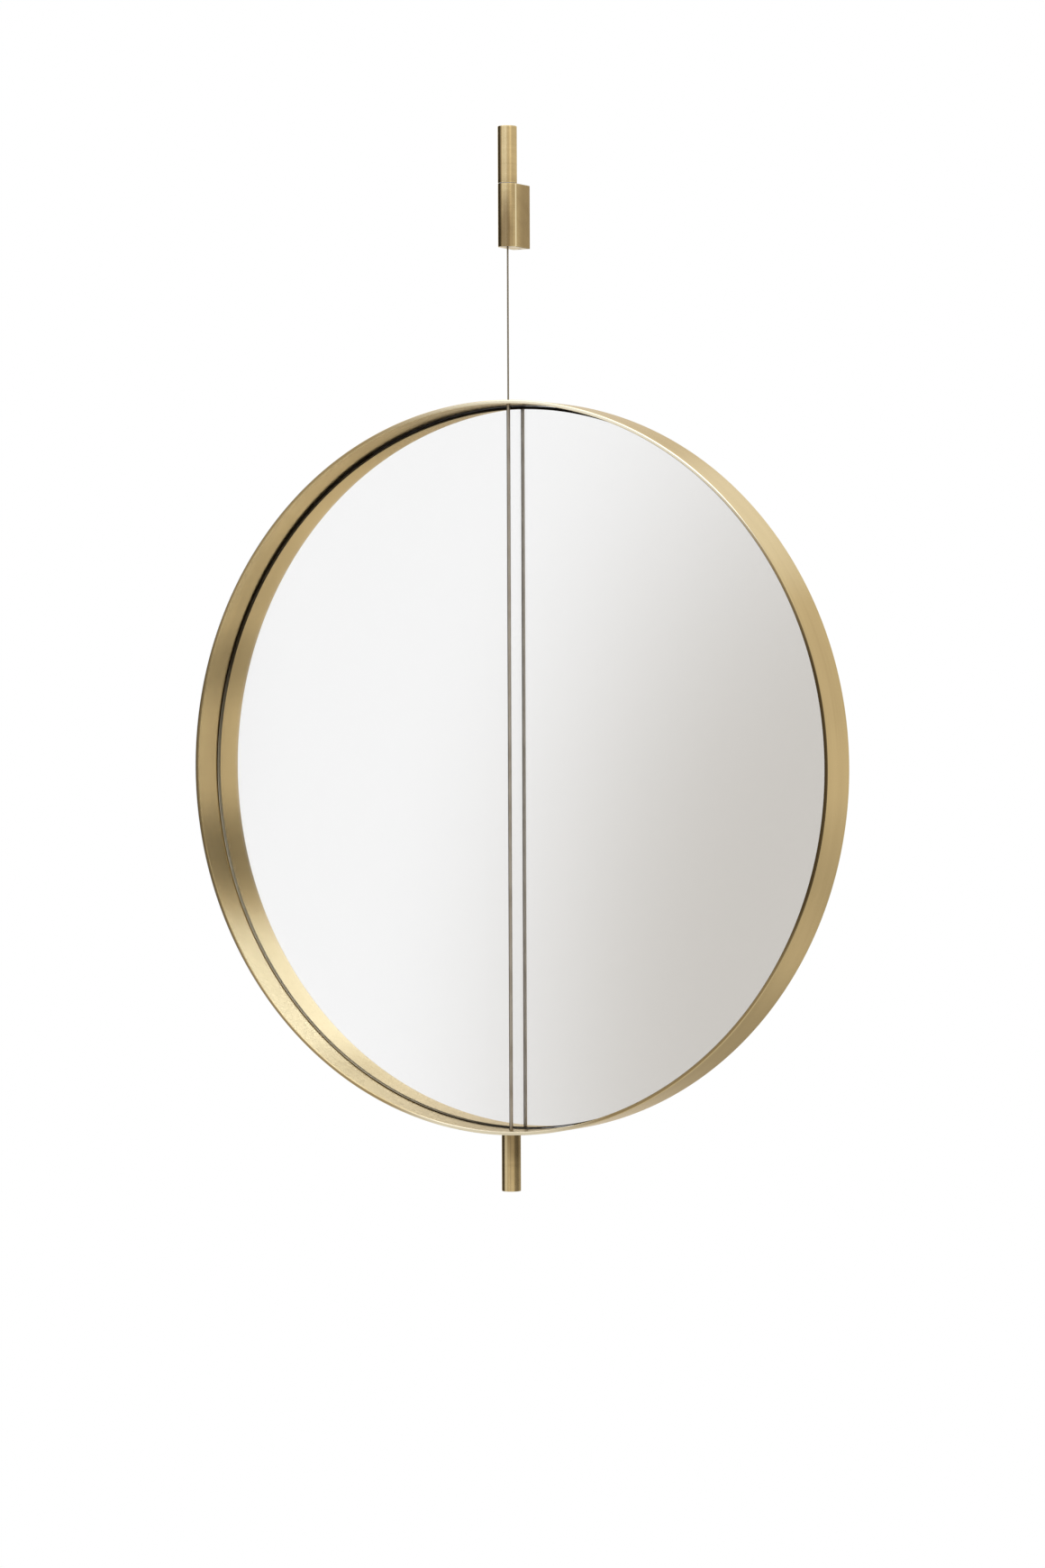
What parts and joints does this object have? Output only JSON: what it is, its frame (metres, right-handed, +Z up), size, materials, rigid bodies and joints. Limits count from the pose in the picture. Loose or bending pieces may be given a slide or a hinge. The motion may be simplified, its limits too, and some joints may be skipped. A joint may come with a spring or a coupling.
{
  "type": "pivot wall mirror",
  "caption": "Round mirror in a deep brass hoop, hung from a wall bracket by a steel cable that runs down its diameter into a bob; it turns about the cable.",
  "frame": {"origin": "middle of the bracket's back face, where it lies against the wall", "axes": "+Z up along the cable, +Y into the wall, so the mirror faces -Y, +X to the right of someone facing the mirror"},
  "size_m": [0.7999, 0.055, 1.1626],
  "materials": {
    "brushed_brass": "satin, brushed along the strip and round the rods, lightly burnished",
    "bearing_bronze": "turned",
    "cable_steel": "stranded stainless wire",
    "sleeve_steel": "drawn stainless tube",
    "screw_steel": "machined",
    "zinc_plated_steel": "zinc plated",
    "thrust_plastic": "plain",
    "silvered_glass": "polished, ground edge",
    "foam_tape": "closed-cell foam",
    "coated_panel": "matt coating on a thin composite panel"
  },
  "bodies": {
    "bracket": {"wall_plate": "zinc_plated_steel", "bracket_body": "brushed_brass", "bracket_lock_screw": "screw_steel", "cable_guide_bush": "bearing_bronze", "swivel_washer": "thrust_plastic"},
    "suspension": {"top_terminal": "brushed_brass", "terminal_clamp_screws": "screw_steel", "terminal_cap": "brushed_brass", "cable_end_ferrule": "cable_steel", "cable": "cable_steel", "bob": "brushed_brass", "bob_clamp_screw": "screw_steel", "bob_cap": "brushed_brass", "cable_stop": "cable_steel", "bob_washer": "thrust_plastic"},
    "mirror": {"hoop": "brushed_brass", "upper_bush": "bearing_bronze", "lower_bush": "bearing_bronze", "cable_sleeve": "sleeve_steel", "mirror_glass": "silvered_glass", "adhesive_strips": "foam_tape", "backing_panel": "coated_panel", "panel_lugs": "zinc_plated_steel", "panel_screws": "screw_steel"}
  },
  "joints": [
    {"name": "terminal_swivel", "type": "hinge", "parent": "bracket", "child": "suspension", "pos_m": [0, -0.03, 0.0345], "axis": [0, 0, 1], "continuous": true},
    {"name": "mirror_pivot", "type": "hinge", "parent": "suspension", "child": "mirror", "pos_m": [0, -0.03, -0.6025], "axis": [0, 0, 1], "continuous": true}
  ]
}
